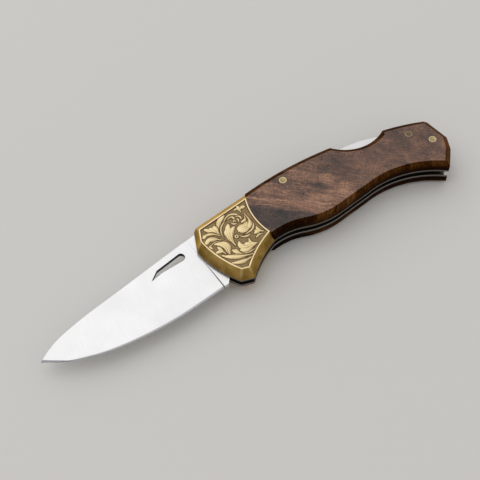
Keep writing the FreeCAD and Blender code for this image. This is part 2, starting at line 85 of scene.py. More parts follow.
def new_finish(name):
    """A new material, the tree of its nodes, and its shader."""
    finish = bpy.data.materials.new(name)
    finish.use_nodes = True
    return finish, finish.node_tree, finish.node_tree.nodes["Principled BSDF"]


def hang(name, thing, place):
    """Hangs the panel or the camera at a place and turns it to the knife."""
    hung = bpy.data.objects.new(name, thing)
    hung.location = place
    hung.rotation_euler = (place - LOOK_AT).to_track_quat("Z", "Y").to_euler()
    scene.collection.objects.link(hung)
    return hung


table_paint, tree, shader = new_finish("table_paint")
connect(tree, shader, {
    "Base Color": TABLE_COLOUR,
    "Roughness": TABLE_ROUGHNESS,
    "Specular IOR Level": TABLE_GLOSS,
})
table_top = bmesh.new()
bmesh.ops.create_grid(table_top, x_segments=1, y_segments=1, size=TABLE_SIDE / 2)
bmesh.ops.translate(table_top, verts=table_top.verts, vec=(0, 0, -TABLE_DROP))
table_mesh = bpy.data.meshes.new("table")
table_top.to_mesh(table_mesh)
table_top.free()
table_mesh.materials.append(table_paint)
table = bpy.data.objects.new("table", table_mesh)
scene.collection.objects.link(table)

room = bpy.data.worlds.new("room")
room.use_nodes = True
scene.world = room
room_light = room.node_tree.nodes["Background"]
connect(room.node_tree, room_light, {"Color": ROOM_COLOUR, "Strength": ROOM_STRENGTH})

panel = bpy.data.lights.new("soft_panel", "AREA")
panel.size = PANEL_SIDE
panel.energy = PANEL_RADIANCE * math.pi * PANEL_SIDE ** 2
hang("soft_panel", panel, PANEL_PLACE)

lens = bpy.data.cameras.new("camera")
lens.lens = LENS
lens.sensor_width = SENSOR
lens.clip_start = NEAREST_SEEN
scene.camera = hang("camera", lens, LOOK_FROM)

# Blade: one piece of stainless steel, ground flat from the spine to a narrow sharpened edge
# and satin finished across its width. It turns on the pivot pin in the front of the handle.
BLADE_EDGE_ROUND = 0.08 * MM
CUTTING_EDGE = 0.3 * MM
SOFT_ANGLE = math.radians(40)
CRISP_ANGLE = math.radians(24)
SAME_PLANE = math.radians(0.3)
SAME_SPOT = 0.001 * MM
# A tilt is how far a face looks along an axis: 1 is straight along it and 0 is square to it.
FLAT_TILT = 0.985
WALL_TILT = 0.3
SLOT_X = (-34.5 * MM, -18.0 * MM)
SLOT_Y = (-0.2 * MM, 7.2 * MM)
HONED_FROM = -79.5 * MM
TIP_LINE_START = Vector((-81.4, -11.55, 0)) * MM
TIP_LINE_RISE = Vector((0.45, 0.9, 0)).normalized()
# The plunge is the step where the grind ends. Its steel is painted shade, bright at the spine
# and dark below, and its run says how nearly upright its edges are.
PLUNGE_X = (-15.6 * MM, -10.3 * MM)
PLUNGE_TILT = -0.8
PLUNGE_RUN = 0.9
PLUNGE_ROUND = 0.2 * MM
PLUNGE_FADE = (-6.0 * MM, 3.0 * MM)
PLUNGE_SHADES = ((0.030, 0.032, 0.040), (0.80, 0.80, 0.81))
PLUNGE_ROUGHNESS = 0.4
# The belt leaves some strokes duller than the rest, and some rougher.
STEEL_DULL = 0.86
STEEL_SPAN = (0.15, 0.55)
STEEL_LIFT = 0.1
STEEL_SPREAD = 0.06
STEEL_CLOUDS = 0.09 / MM
SCRATCH_DEPTH = 0.02 * MM


def bench_copy(node):
    """A CAD solid with its loose triangles joined and its flat faces made whole."""
    bm = bmesh.new()
    bm.from_mesh(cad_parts[node].data)
    bmesh.ops.remove_doubles(bm, verts=bm.verts, dist=SAME_SPOT)
    bmesh.ops.dissolve_limit(bm, angle_limit=SAME_PLANE, verts=bm.verts, edges=bm.edges)
    return bm


def everything(bm):
    """All the points, edges and faces of a mesh."""
    return bm.verts[:] + bm.edges[:] + bm.faces[:]


def break_edges(bm, size, steps=2, chosen=lambda edge: True, clamp=True, coat=None):
    """Takes the sharpness off the chosen ones of the crisp edges. The narrow new faces get
    the coat that is given, which is a place in the piece's list of finishes."""
    crisp = [
        edge for edge in bm.edges
        if len(edge.link_faces) == 2 and edge.calc_face_angle() > CRISP_ANGLE and chosen(edge)
    ]
    made = bmesh.ops.bevel(
        bm, geom=crisp, offset=size, offset_type="OFFSET", segments=steps, profile=0.5,
        affect="EDGES", clamp_overlap=clamp, material=-1,
    )
    if coat is not None:
        for face in made["faces"]:
            face.material_index = coat


def put(bm, name, body, finishes, stands_for=()):
    """Makes a mesh a finished piece: smooth, with even flats, and riding on its body. A piece
    that bends between two bodies is given none here."""
    mesh = bpy.data.meshes.new(name)
    bm.to_mesh(mesh)
    bm.free()
    for finish in finishes:
        mesh.materials.append(finish)
    mesh.shade_smooth()
    mesh.set_sharp_from_angle(angle=SOFT_ANGLE)
    piece = bpy.data.objects.new(name, mesh)
    scene.collection.objects.link(piece)
    piece.modifiers.new("even_flats", "WEIGHTED_NORMAL").keep_sharp = True
    if body:
        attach(piece, body)
    if stands_for:
        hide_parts(*stands_for)
    return piece


def add(tree, kind, output, sockets=None, **settings):
    """Adds a shader node with its settings and sockets, and hands back one of its outputs."""
    made = tree.nodes.new("ShaderNode" + kind)
    for key, value in settings.items():
        setattr(made, key, value)
    connect(tree, made, sockets or {})
    return made.outputs[output]


def plus(tree, total, part, share=1.0):
    """Adds a share of a part to a total."""
    return add(tree, "Math", "Value", {0: part, 1: share, 2: total}, operation="MULTIPLY_ADD")


def graded(tree, value, span=(0, 1), result=(0, 1), curve="LINEAR"):
    """Goes from the first result to the second as a value goes through its span."""
    ends = {"From Min": span[0], "From Max": span[1], "To Min": result[0], "To Max": result[1]}
    return add(tree, "MapRange", "Result", {"Value": value, **ends}, interpolation_type=curve)


def tinted(tree, value, stops, colours):
    """Goes from colour to colour as a value goes from stop to stop."""
    tint = add(tree, "ValToRGB", "Color", {"Fac": value})
    marks = tint.node.color_ramp.elements
    marks[0].position = stops[0]
    marks[1].position = stops[-1]
    for stop in stops[1:-1]:
        marks.new(stop)
    for mark, colour in zip(marks, colours):
        mark.color = (*colour, 1)
    return tint


def satin_steel(name, colour, strokes, roughness, relief):
    """Steel with the fine parallel scratches of an abrasive belt. Strokes says how many
    scratches lie in a millimetre along each axis."""
    finish, tree, shader = new_finish(name)
    place = add(tree, "TexCoord", "Object")
    closeness = [number / MM for number in strokes]
    stretched = add(tree, "Mapping", "Vector", {"Vector": place, "Scale": closeness})
    scratch = add(tree, "TexNoise", "Fac", {"Vector": stretched, "Scale": 1.0, "Detail": 4.0})
    cloud = add(tree, "TexNoise", "Fac", {"Vector": place, "Scale": STEEL_CLOUDS, "Detail": 3.0})
    shine = plus(tree, STEEL_LIFT, scratch, cloud)
    dull = [STEEL_DULL * part for part in colour]
    spread = (roughness - STEEL_SPREAD, roughness + STEEL_SPREAD)
    dents = {"Height": scratch, "Strength": relief, "Distance": SCRATCH_DEPTH}
    connect(tree, shader, {
        "Base Color": tinted(tree, shine, STEEL_SPAN, (dull, colour)),
        "Roughness": graded(tree, scratch, result=spread),
        "Normal": add(tree, "Bump", "Normal", dents),
        "Metallic": 1.0,
    })
    return finish


blade_satin = satin_steel(
    "blade_satin", (0.93, 0.93, 0.935), strokes=(7, 0.12, 0.12), roughness=0.30, relief=0.12
)
blade_honed = satin_steel(
    "blade_honed", (0.53, 0.53, 0.54), strokes=(0.1, 6, 6), roughness=0.24, relief=0.1
)
blade_tip = satin_steel(
    "blade_tip", (0.35, 0.35, 0.375), strokes=(0.1, 6, 6), roughness=0.26, relief=0.1
)
# Painted shade: the walls of the thumb slot are steel painted nearly black.
slot_walls_painted_shade = satin_steel(
    "slot_walls_painted_shade", (0.045, 0.048, 0.056), strokes=(4, 0.3, 0.3), roughness=0.42, relief=0.1
)
# Painted shade on the plunge: the steel goes from nearly black below to bright at the spine.
plunge_painted_shade, tree, shader = new_finish("plunge_painted_shade")
up_the_blade = add(tree, "SeparateXYZ", "Y", {"Vector": add(tree, "TexCoord", "Object")})
connect(tree, shader, {
    "Base Color": tinted(tree, graded(tree, up_the_blade, PLUNGE_FADE), (0, 1), PLUNGE_SHADES),
    "Roughness": PLUNGE_ROUGHNESS,
    "Metallic": 1.0,
})
blade_finishes = [blade_satin, blade_honed, slot_walls_painted_shade, plunge_painted_shade, blade_tip]

blade_low, blade_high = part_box("blade")
blade_middle = (blade_low.z + blade_high.z) / 2
blade_mesh = bench_copy("blade")


def in_plunge(face):
    """Is this face part of the plunge?"""
    return PLUNGE_X[0] < face.calc_center_median().x < PLUNGE_X[1] and face.normal.x < PLUNGE_TILT


def at_plunge(edge):
    """Does this edge run along the plunge?"""
    run = (edge.verts[0].co - edge.verts[1].co).normalized()
    return abs(run.y) > PLUNGE_RUN and any(in_plunge(face) for face in edge.link_faces)


def off_cutting_edge(edge):
    """Does this edge reach out of the thin cutting edge, which stays sharp?"""
    return max(abs(vert.co.z - blade_middle) for vert in edge.verts) > CUTTING_EDGE


plunge_coat = blade_finishes.index(plunge_painted_shade)
break_edges(blade_mesh, PLUNGE_ROUND, chosen=at_plunge, clamp=False, coat=plunge_coat)
break_edges(blade_mesh, BLADE_EDGE_ROUND, chosen=off_cutting_edge)
bmesh.ops.bisect_plane(
    blade_mesh, geom=everything(blade_mesh), plane_co=TIP_LINE_START, plane_no=TIP_LINE_RISE
)
blade_mesh.normal_update()
for face in blade_mesh.faces:
    spot = face.calc_center_median()
    tilt = abs(face.normal.z)
    in_slot = SLOT_X[0] < spot.x < SLOT_X[1] and SLOT_Y[0] < spot.y < SLOT_Y[1]
    # The slot's walls take the painted shade.
    if tilt < WALL_TILT and in_slot:
        face.material_index = blade_finishes.index(slot_walls_painted_shade)
    elif in_plunge(face):
        face.material_index = plunge_coat
    elif (spot - TIP_LINE_START).dot(TIP_LINE_RISE) < 0:
        face.material_index = blade_finishes.index(blade_tip)
    elif WALL_TILT < tilt < FLAT_TILT and face.normal.y < 0 and spot.x > HONED_FROM:
        face.material_index = blade_finishes.index(blade_honed)
put(blade_mesh, "blade_ground", "blade", blade_finishes, ["blade"])

# Lock bar, spacer and liners: flat steel stamped from sheet. The liners are the two walls of
# the handle, the spacer closes them at the butt, and the bar rocks on a pin between them.
PLATE_EDGE_ROUND = 0.16 * MM
EDGE_COAT = 1
bar_satin = satin_steel(
    "bar_satin", (0.92, 0.91, 0.91), strokes=(0.15, 5, 5), roughness=0.30, relief=0.12
)
# Painted shade and highlight: the liners' steel is painted dark, and their broken edges lighter.
liner_painted_shade = satin_steel(
    "liner_painted_shade", (0.15, 0.128, 0.105), strokes=(0.2, 5, 3), roughness=0.36, relief=0.15
)
liner_edge_highlight = satin_steel(
    "liner_edge_highlight", (0.30, 0.27, 0.24), strokes=(0.2, 5, 3), roughness=0.34, relief=0.1
)
spacer_satin = satin_steel(
    "spacer_satin", (0.84, 0.82, 0.80), strokes=(0.2, 5, 5), roughness=0.32, relief=0.12
)
for node, body, slot, flat_finish, edge_finish in (
    ("lock_bar", "lock_bar", "lock_steel", bar_satin, bar_satin),
    ("back_spacer", "handle", "frame_steel", spacer_satin, spacer_satin),
    ("liner_right", "handle", "frame_steel", liner_painted_shade, liner_edge_highlight),
    ("liner_left", "handle", "frame_steel", liner_painted_shade, liner_edge_highlight),
):
    plate = bench_copy(node)
    break_edges(plate, PLATE_EDGE_ROUND, coat=EDGE_COAT)
    put(plate, f"{node}_broken_edges", body, [flat_finish, edge_finish], [node])

# Lock spring: a blued strip of spring steel set in the spacer. Its free end presses the tail
# of the lock bar up, so it bends along when the bar is pushed down or snaps back.
SPRING_CUTS = 16
spring_blue = satin_steel(
    "spring_blue", (0.20, 0.20, 0.23), strokes=(0.3, 4, 4), roughness=0.38, relief=0.1
)
spring = bench_copy("lock_spring")
spring_low, spring_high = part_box("lock_spring")
spring_length = spring_high.x - spring_low.x
break_edges(spring, PLATE_EDGE_ROUND)
for cut in range(1, SPRING_CUTS):
    cut_place = spring_low + Vector((spring_length * cut / SPRING_CUTS, 0, 0))
    bmesh.ops.bisect_plane(spring, geom=everything(spring), plane_co=cut_place, plane_no=(1, 0, 0))
spring_strip = put(spring, "lock_spring_strip", None, [spring_blue], ["lock_spring"])
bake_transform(spring_strip)

# Bolsters: two cast brass slabs, bevelled all round but at the joint with the wood. Handling
# has left the bevels a dull olive and polished the rim and the corners. The broken edges and
# corners are lighter, partly wear and partly painted highlight, and the bevels on the spine
# side, which face the light, are painted much lighter as a painted highlight.
BOLSTER_EDGE_ROUND = 0.14 * MM
CORNER_ROUND = 0.5 * MM
BEVEL_TILT = (0.1, 0.93)
SPINE_HIGHLIGHT_TILT = 0.45
RUBBED_DEPTH = 0.13 * MM
bolster_low, bolster_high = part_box("bolster_left")
BEVEL_FOOT = bolster_low.z - blade_middle
HALF_HANDLE = bolster_high.z - blade_middle
# Brass wears in patches and in specks.
PATCHES = 0.22 / MM
SPECKS = 2.2 / MM
SPECK_WEAR = 0.35
WEAR_SPAN = (0.48, 0.88)
BRASS_SPREAD = 0.1
EDGE_TINT = (1.0, 0.80, 0.48, 1)


def from_middle(tree, place):
    """How far a place lies from the middle of the knife, towards either side."""
    height = add(tree, "SeparateXYZ", "Z", {"Vector": place})
    off_middle = add(tree, "Math", "Value", {0: height, 1: blade_middle}, operation="SUBTRACT")
    return add(tree, "Math", "Value", {0: off_middle}, operation="ABSOLUTE")


def handled_brass(name, dull, bright, roughness, rubbed=0.0):
    """Brass that has aged in patches, with the scratches of years in a pocket. Rubbed says
    how much brighter than its foot a bevel is at the rim."""
    finish, tree, shader = new_finish(name)
    place = add(tree, "TexCoord", "Object")
    patches = add(tree, "TexNoise", "Fac", {"Vector": place, "Scale": PATCHES, "Detail": 5.0})
    specks = add(tree, "TexNoise", "Fac", {"Vector": place, "Scale": SPECKS, "Detail": 4.0})
    wear = plus(tree, patches, specks, SPECK_WEAR)
    if rubbed:
        height = from_middle(tree, place)
        gain = (-rubbed / 2, rubbed / 2)
        wear = plus(tree, wear, graded(tree, height, (BEVEL_FOOT, HALF_HANDLE), gain))
    spread = (roughness - BRASS_SPREAD, roughness + BRASS_SPREAD)
    dents = {"Height": specks, "Strength": 0.15, "Distance": 0.03 * MM}
    connect(tree, shader, {
        "Base Color": tinted(tree, wear, WEAR_SPAN, (dull, bright)),
        "Roughness": graded(tree, specks, result=spread),
        "Normal": add(tree, "Bump", "Normal", dents),
        "Metallic": 1.0,
        "Specular Tint": EDGE_TINT,
    })
    return finish


olive_brass = handled_brass(
    "olive_brass", (0.235, 0.136, 0.030), (0.50, 0.325, 0.100), roughness=0.42, rubbed=0.34
)
# Painted highlight: a much lighter brass for the bevels on the spine side, which face the light.
spine_bevel_highlight_brass = handled_brass(
    "spine_bevel_highlight_brass", (0.50, 0.315, 0.090), (0.80, 0.560, 0.210), roughness=0.38, rubbed=0.3
)
rubbed_brass = handled_brass(
    "rubbed_brass", (0.85, 0.635, 0.35), (0.99, 0.79, 0.49), roughness=0.32
)
# Broken edges and corners: partly wear, partly a painted highlight, a little lighter than the olive.
worn_and_highlit_brass = handled_brass(
    "worn_and_highlit_brass", (0.25, 0.150, 0.036), (0.62, 0.45, 0.190), roughness=0.38, rubbed=0.5
)
bolster_finishes = [olive_brass, rubbed_brass, worn_and_highlit_brass, spine_bevel_highlight_brass]
wear_and_highlight_coat = bolster_finishes.index(worn_and_highlit_brass)


def between_bevels(edge):
    """Do two of a bolster's bevels meet at this edge?"""
    return all(BEVEL_TILT[0] < abs(face.normal.z) < BEVEL_TILT[1] for face in edge.link_faces)


for side in ("right", "left"):
    node = f"bolster_{side}"
    low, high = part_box(node)
    rim_height = high.z if side == "left" else low.z
    bolster = bench_copy(node)
    break_edges(bolster, CORNER_ROUND, steps=4, chosen=between_bevels, clamp=False, coat=wear_and_highlight_coat)
    break_edges(bolster, BOLSTER_EDGE_ROUND, steps=3, coat=wear_and_highlight_coat)
    bolster.normal_update()
    for face in bolster.faces:
        if abs(face.calc_center_median().z - rim_height) < RUBBED_DEPTH:
            face.material_index = bolster_finishes.index(rubbed_brass)
        # Bevels facing the spine side take the painted highlight.
        elif face.normal.y > SPINE_HIGHLIGHT_TILT and abs(face.normal.z) > BEVEL_TILT[0]:
            face.material_index = bolster_finishes.index(spine_bevel_highlight_brass)
    put(bolster, f"{node}_cast", "handle", bolster_finishes, [node])

# Engraving: acanthus leaves cut by hand into the sunk field of each bolster. The leaves stand
# almost as high as the rim, and the ground between them is punched with dots and has gone dark.
FIELD_DEPTH = 0.35 * MM
FIELD_PITCH = 0.12 * MM
PIVOT_REACH = 2.6 * MM
GROUND_RISE = 0.03 * MM
LEAF_RISE = 0.26 * MM
SOLE_DEPTH = 0.15 * MM
# Widths on a leaf, in millimetres, and its shape.
CUT_WIDTH = 0.22
EDGE_ROLL = 0.45
LINE_PITCH = 0.82
LEAF_STEPS = 48
LEAF_SWELL = 0.7
ROOT_WIDTH = 0.35
# The lift is a share of a leaf's rise, and the gilt says how bright the brass is there.
GROUND_LIFT = 0.08
GROUND_GILT = 0.36
CUT_GILT = 0.12
LEAF_LIFT = 0.45
LEAF_GILT = 0.80
ROLL_LIFT = 0.55
ROLL_GILT = 0.20
LINE_LIFT = -0.2
LINE_GILT = -0.62
LINE_START = 1.25
LINE_FADE = -1.4
# Each leaf has one lobe or more that share an outline. A lobe is given by its root, the middle
# of its back and its tip, in millimetres from the pivot, half its width, and how far along it is
# widest. A later leaf lies over the ones before it.
LEAVES = (
    [((-3.9, 6.0), (-2.6, 9.7), (0.9, 11.8), 0.95, 0.6)],
    [
        ((-4.3, 4.4), (-4.7, 6.8), (-4.9, 9.1), 0.95, 0.7),
        ((-4.3, 4.4), (-5.8, 7.0), (-6.6, 8.6), 1.2, 0.66),
        ((-4.5, 5.0), (-6.6, 7.4), (-8.9, 9.4), 0.85, 0.66),
    ],
    [
        ((-4.4, 4.2), (-7.1, 6.3), (-10.0, 6.5), 0.62, 0.6),
        ((-7.7, 6.5), (-9.5, 6.5), (-10.6, 5.7), 0.75, 0.6),
    ],
    [
        ((-4.9, 2.4), (-7.8, 4.2), (-10.5, 4.0), 0.95, 0.55),
        ((-7.6, 3.7), (-9.7, 3.7), (-11.2, 3.1), 0.8, 0.66),
    ],
    [
        ((-4.4, 1.6), (-7.1, 2.4), (-9.3, 1.6), 0.42, 0.5),
        ((-8.6, 2.0), (-9.9, 1.4), (-9.1, 0.3), 0.6, 0.62),
    ],
    [
        ((-5.9, -3.5), (-7.0, -2.0), (-9.2, -2.0), 0.72, 0.62),
        ((-6.2, -3.0), (-6.7, -1.2), (-7.5, 0.3), 0.68, 0.6),
        ((-7.4, -1.8), (-8.6, -1.8), (-8.9, -2.7), 0.5, 0.6),
    ],
    [
        ((-5.0, -4.9), (-4.6, -0.4), (-8.4, 1.9), 1.25, 0.45),
        ((-4.5, -4.5), (-3.8, -0.9), (-5.4, 1.7), 1.0, 0.55),
    ],
    [
        ((3.6, -7.8), (-2.2, -6.6), (-7.2, -4.1), 0.95, 0.62),
        ((-5.0, -5.3), (-6.6, -4.4), (-7.4, -3.6), 0.5, 0.6),
    ],
    [((2.4, -8.7), (-1.8, -9.1), (-5.9, -7.9), 0.85, 0.5)],
    [
        ((-0.2, -6.2), (-1.9, -4.9), (-2.9, -3.0), 0.72, 0.66),
        ((-0.6, -5.6), (-1.5, -4.4), (-1.9, -3.2), 0.5, 0.6),
    ],
    [((5.6, -5.7), (2.2, -6.5), (-0.4, -5.4), 0.42, 0.6)],
    [
        ((6.4, -4.2), (2.0, -5.2), (-0.4, -4.2), 0.95, 0.55),
        ((6.0, -4.2), (1.2, -3.6), (0.9, -0.7), 1.15, 0.5),
        ((5.8, -4.2), (3.6, -3.4), (2.4, -2.6), 1.0, 0.5),
        ((6.4, -4.0), (4.6, -3.0), (4.8, -0.9), 0.6, 0.4),
    ],
    [
        ((10.9, -0.6), (9.2, 0.1), (7.3, -0.3), 0.72, 0.6),
        ((10.6, -0.6), (9.5, 0.8), (9.4, 2.5), 0.72, 0.42),
        ((10.0, -0.4), (8.8, 0.7), (7.9, 0.6), 0.45, 0.6),
    ],
    [((10.4, -1.6), (8.8, -1.3), (7.0, -2.3), 0.4, 0.55)],
    [
        ((6.9, 10.7), (6.8, 12.2), (6.8, 13.8), 0.75, 0.55),
        ((6.9, 11.6), (8.1, 12.3), (9.4, 12.2), 0.75, 0.6),
        ((7.0, 11.8), (6.0, 12.4), (4.7, 12.3), 0.48, 0.5),
    ],
    [((8.5, 7.0), (8.2, 2.5), (3.4, 1.1), 0.44, 0.5)],
    [
        ((-3.6, 2.4), (-2.9, 7.0), (0.6, 9.6), 0.34, 0.5),
        ((-0.6, 9.3), (1.2, 10.0), (2.4, 9.1), 0.34, 0.5),
    ],
    [((-0.5, 9.6), (3.6, 11.0), (6.9, 7.3), 0.56, 0.42)],
    [((1.0, 9.7), (3.1, 9.8), (2.9, 7.7), 0.48, 0.5)],
    [((4.1, 9.5), (5.6, 9.0), (5.7, 7.4), 0.44, 0.5)],
    [
        ((1.6, 7.9), (2.3, 6.8), (3.6, 6.7), 0.42, 0.5),
        ((2.3, 7.4), (3.0, 8.1), (3.5, 7.3), 0.36, 0.5),
    ],
    [((4.2, 6.8), (4.6, 7.8), (4.2, 8.6), 0.40, 0.5)],
    [((2.1, 1.3), (3.8, 0.1), (6.3, 0.4), 0.46, 0.5)],
    [
        ((7.7, 9.2), (7.9, 4.7), (4.6, 2.8), 0.9, 0.62),
        ((6.9, 3.9), (4.7, 3.6), (3.0, 4.0), 1.9, 0.52),
        ((6.8, 5.6), (6.2, 4.6), (4.6, 4.2), 1.1, 0.5),
    ],
    [
        ((7.3, 8.4), (6.8, 6.8), (5.0, 6.6), 0.6, 0.6),
        ((6.4, 6.7), (5.8, 6.6), (5.2, 6.0), 0.45, 0.5),
    ],
    [
        ((-1.1, -1.6), (-1.5, 3.0), (0.5, 7.9), 1.25, 0.62),
        ((-1.2, -1.4), (-0.3, 3.4), (2.2, 5.8), 0.85, 0.62),
        ((-1.3, -0.4), (-2.0, 3.2), (-2.0, 5.6), 0.75, 0.6),
    ],
)
BEAD_PLACE = (0.9, 1.45)
BEAD_RADIUS = 0.55
BEAD_HALF_WIDTH = 0.26
# The gilt, with the dots of the punch and some tarnish, is a place on this row of shades.
PUNCHED_DOTS = 2.6 / MM
DOT_SHARE = 0.22
TARNISH = 0.5 / MM
TARNISH_SHARE = 0.24
AGE_DARKENING = -0.22
GILT_STOPS = (0.0, 0.30, 0.62, 1.0)
GILT_SHADES = ((0.066, 0.040, 0.017), (0.265, 0.180, 0.092), (0.67, 0.50, 0.240), (0.97, 0.79, 0.455))
GILT_ROUGHNESS = (0.75, 0.36)
GILT_METAL = 0.9


def lay_leaf(spots, root, back, tip, half_width, fullest):
    """How far spots lie outside a leaf, how far along it, and how far beside its back."""
    root, back, tip = (np.array(point) for point in (root, back, tip))
    pull = 2 * back - (root + tip) / 2
    share = np.linspace(0, 1, LEAF_STEPS)
    along = share[:, None]
    spine = (1 - along) ** 2 * root + 2 * along * (1 - along) * pull + along ** 2 * tip
    swell = np.sin(np.pi * share ** (math.log(0.5) / math.log(fullest))).clip(0) ** LEAF_SWELL
    width = half_width * np.maximum(swell, ROOT_WIDTH * (1 - share))
    apart = spots[:, None, :] - spine
    outside = np.hypot(apart[..., 0], apart[..., 1]) - width
    nearest = outside.argmin(axis=1)
    run = np.gradient(spine, axis=0)[nearest]
    gap = apart[np.arange(len(spots)), nearest]
    beside = (run[:, 0] * gap[:, 1] - run[:, 1] * gap[:, 0]) / np.hypot(run[:, 0], run[:, 1])
    return outside.min(axis=1), share[nearest], beside


def carve(lift, gilt, lobes):
    """Lays one leaf over the field: a dark cut round it, a rolled edge and lines at its root."""
    outside, along, beside = lobes[0]
    for lobe in lobes[1:]:
        nearer = lobe[0] < outside
        pairs = zip(lobe, (outside, along, beside))
        outside, along, beside = (np.where(nearer, new, old) for new, old in pairs)
    cut = outside < CUT_WIDTH
    leaf = outside < 0
    rolled = (-outside / EDGE_ROLL).clip(0, 1)
    lines = np.sin(math.pi * beside / LINE_PITCH) ** 2 * (LINE_START + LINE_FADE * along).clip(0, 1)
    lift[cut] = 0
    gilt[cut] = CUT_GILT
    lift[leaf] = (LEAF_LIFT + ROLL_LIFT * np.sqrt(rolled) + LINE_LIFT * lines)[leaf]
    gilt[leaf] = (LEAF_GILT + ROLL_GILT * rolled + LINE_GILT * lines)[leaf]


columns = math.ceil((bolster_high.x - bolster_low.x) / FIELD_PITCH)
rows = math.ceil((bolster_high.y - bolster_low.y) / FIELD_PITCH)
bolster_centre = (bolster_low + bolster_high) / 2
engraving = bmesh.new()
bmesh.ops.create_grid(engraving, x_segments=columns, y_segments=rows, size=0.5)
bmesh.ops.scale(engraving, verts=engraving.verts, vec=(columns * FIELD_PITCH, rows * FIELD_PITCH, 1))
bmesh.ops.translate(engraving, verts=engraving.verts, vec=(bolster_centre.x, bolster_centre.y, 0))
plain_bolster = bench_copy("bolster_left")
field_seeker = BVHTree.FromBMesh(plain_bolster)
plain_bolster.free()
field_height = bolster_high.z - FIELD_DEPTH


def in_field(spot):
    """Does the sunk field lie below this spot?"""
    hit = field_seeker.ray_cast(Vector((spot.x, spot.y, bolster_high.z + MM)), Vector((0, 0, -1)))[0]
    over_pivot = math.hypot(spot.x, spot.y) < PIVOT_REACH
    return over_pivot or (hit is not None and abs(hit.z - field_height) < SAME_SPOT)


# The carving reaches one step past the field, into the rim, and lies low for two steps inside it.
field = np.array([in_field(vert.co) for vert in engraving.verts]).reshape(rows + 1, columns + 1)
kept = field.copy()
inland = field.copy()
for axis in (0, 1):
    for step in (-1, 1):
        kept |= np.roll(field, step, axis)
        inland &= np.roll(field, 2 * step, axis)
spots = np.array([vert.co.xy for vert in engraving.verts]) / MM
lift = np.full(len(spots), GROUND_LIFT)
gilt = np.full(len(spots), GROUND_GILT)
for leaf in LEAVES:
    carve(lift, gilt, [lay_leaf(spots, *lobe) for lobe in leaf])
bead = np.abs(np.hypot(*(spots - BEAD_PLACE).T) - BEAD_RADIUS) - BEAD_HALF_WIDTH
carve(lift, gilt, [(bead, np.ones(len(spots)), bead)])
lift[~inland.ravel()] = 0
gilt[~inland.ravel()] = 0
gilt_layer = engraving.verts.layers.float.new("gilt")
for vert, vert_lift, vert_gilt in zip(engraving.verts, lift, gilt):
    vert.co.z = field_height + GROUND_RISE + LEAF_RISE * vert_lift
    vert[gilt_layer] = vert_gilt
off_field = [vert for vert, keep in zip(engraving.verts, kept.ravel()) if not keep]
bmesh.ops.delete(engraving, geom=off_field, context="VERTS")
border = [edge for edge in engraving.edges if edge.is_boundary]
skirt = bmesh.ops.extrude_edge_only(engraving, edges=border)["geom"]
for part in skirt:
    if isinstance(part, bmesh.types.BMVert):
        part.co.z = field_height - SOLE_DEPTH
hem = [edge for edge in engraving.edges if edge.is_boundary]
bmesh.ops.holes_fill(engraving, edges=hem, sides=0)
bmesh.ops.recalc_face_normals(engraving, faces=engraving.faces)

engraved_brass, tree, shader = new_finish("engraved_brass")
place = add(tree, "TexCoord", "Object")
shine = add(tree, "Attribute", "Fac", attribute_name="gilt")
dots = add(tree, "TexVoronoi", "Distance", {"Vector": place, "Scale": PUNCHED_DOTS})
tarnish = add(tree, "TexNoise", "Fac", {"Vector": place, "Scale": TARNISH, "Detail": 4.0})
tone = plus(tree, plus(tree, shine, dots, DOT_SHARE), tarnish, TARNISH_SHARE)
dents = {"Height": dots, "Strength": 0.3, "Distance": 0.05 * MM}
connect(tree, shader, {
    "Base Color": tinted(tree, plus(tree, tone, AGE_DARKENING), GILT_STOPS, GILT_SHADES),
    "Roughness": graded(tree, shine, result=GILT_ROUGHNESS),
    "Normal": add(tree, "Bump", "Normal", dents),
    "Metallic": GILT_METAL,
})

other_side = engraving.copy()
for vert in other_side.verts:
    vert.co.z = 2 * blade_middle - vert.co.z
bmesh.ops.reverse_faces(other_side, faces=other_side.faces)
put(engraving, "engraving_left", "handle", [engraved_brass])
put(other_side, "engraving_right", "handle", [engraved_brass])

# Scales: two slabs of figured walnut, oiled and polished. The bevels and walls get a much darker
# and redder copy of the walnut as painted shade, and those at the butt a paler copy of it.
SCALE_EDGE_ROUND = 0.3 * MM
BACK_EDGE_ROUND = 0.85 * MM
BACK_BEVEL_TILT = 0.5
BACK_LEAN = 0.2
FACE_TILT = 0.98
BUTT_TILT = 0.2
BUTT_FROM = 80 * MM
SCALE_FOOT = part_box("scale_left")[0].z - blade_middle
# The figure is laid out in millimetres. Its layers lean, and its grain is turned and wanders.
LAYER_LEAN = 1.7
GRAIN_TURN = math.radians(37)
WANDER = 4
WANDER_PITCH = 0.16
STREAKED_END = (40.0, 58.0)
HEART_EDGE = (15.8, 17.4)
# Marks in a millimetre along the grain and across it, and their detail.
BROAD_STREAKS = (0.03, 0.40, 2.0)
FINE_STREAKS = (0.06, 1.25, 4.0)
HATCHING = (1.2, 0.25, 3.0)
SPECKLES = (1.6, 1.6, 3.0)
MOTTLE = (0.16, 0.22, 3.0)
PORES = (0.55, 3.6, 2.0)
MARK_ROUGHNESS = 0.6
MARK_MIDDLE = 0.5
# The tone goes from 0, the darkest shade, to 1, the palest. Each kind of mark has a share in it.
BASE_TONE = 0.415
BROAD_SHARE = 0.8
FINE_SHARE = 0.5
HATCHING_SHARE = 0.5
PALE_LINE_SPAN = (0.55, 0.66)
PALE_LINE_SHARE = 0.30
STREAK_SHARE = 0.95
REAR_STREAKS = 0.35
HEART_STREAKS = 0.3
SPECKLE_SHARE = 0.8
MOTTLE_SHARE = 0.7
HEART_SHARE = -0.30
PORE_SPAN = (0.57, 0.68)
PORE_SHARE = -0.46
# Painted shade: a bevel's tone goes from the first share at its foot to the second at its rim.
BEVEL_FOOT_SHADE = (-0.34, 0.15)
